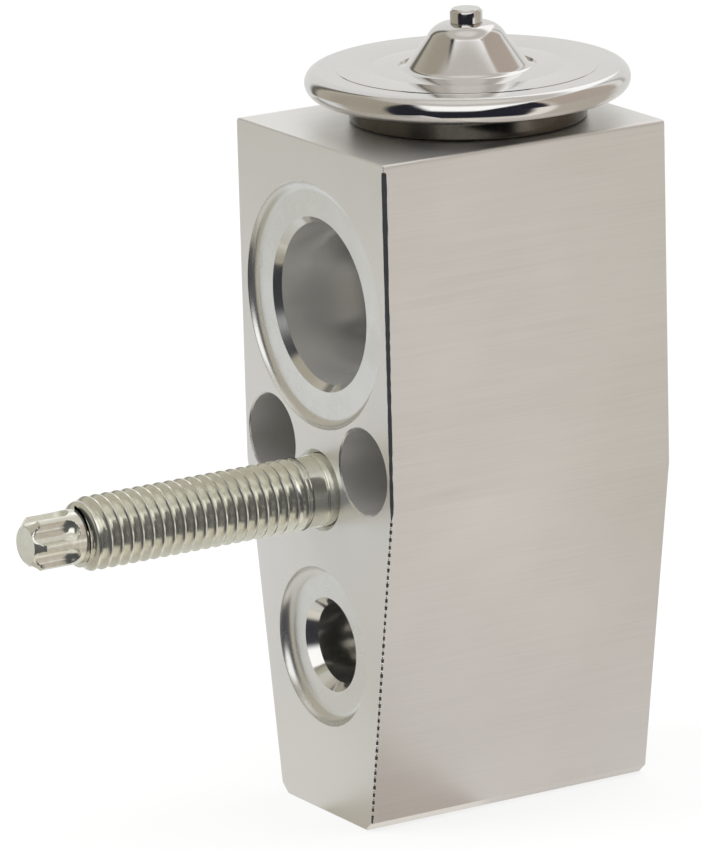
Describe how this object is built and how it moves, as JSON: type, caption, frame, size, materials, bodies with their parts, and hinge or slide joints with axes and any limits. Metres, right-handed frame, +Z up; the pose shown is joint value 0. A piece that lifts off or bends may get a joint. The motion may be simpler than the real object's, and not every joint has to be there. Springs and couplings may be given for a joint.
{
  "type": "block expansion valve",
  "caption": "Block-type refrigerant expansion valve with a tapered aluminium body, line ports on both sides, a welded diaphragm head and a mounting stud.",
  "frame": {"origin": "on the port face, midway between the two bolt holes", "axes": "+Z up towards the diaphragm head, -Y out of the port face along the stud, X across the block"},
  "size_m": [0.0342, 0.0721, 0.0846],
  "materials": {
    "block": "extruded and machined",
    "zinc_steel": "clear zinc plate",
    "stainless": "polished stainless",
    "spring_steel": "satin",
    "ball_steel": "ground and polished",
    "brass": "turned",
    "seal": "matte"
  },
  "bodies": {
    "block": {"valve_block": "block", "mounting_stud": "zinc_steel", "head_upper_cover": "stainless", "head_lower_cover": "stainless", "diaphragm": "spring_steel", "charge_plug": "stainless", "head_gasket": "seal", "rod_seal": "seal", "seal_retainer": "spring_steel", "superheat_spring": "spring_steel"},
    "stem": {"diaphragm_stopper": "brass", "sensing_rod": "stainless", "push_rod": "stainless", "valve_ball": "ball_steel", "ball_carrier": "brass", "damper_spring": "spring_steel"},
    "screw_carriage": {"screw_seal": "seal"},
    "screw": {"adjusting_screw": "brass"}
  },
  "joints": [
    {"name": "stem_travel", "type": "slide", "parent": "block", "child": "stem", "axis": [0, 0, 1], "range_m": [-0.0008, 0], "stiffness_N_per_m": 12000, "springref_m": 0.002, "deforming": ["superheat_spring", "diaphragm"]},
    {"name": "screw_advance", "type": "slide", "parent": "block", "child": "screw_carriage", "axis": [0, 0, 1], "range_m": [-0.001, 0.001]},
    {"name": "screw_turn", "type": "hinge", "parent": "screw_carriage", "child": "screw", "pos_m": [0, 0.0197, -0.0394], "axis": [0, 0, 1], "range_deg": [-360, 360]}
  ],
  "couplings": [
    {"joint": "screw_advance", "follows": "screw_turn", "m_per_rad": 0.00015915}
  ]
}
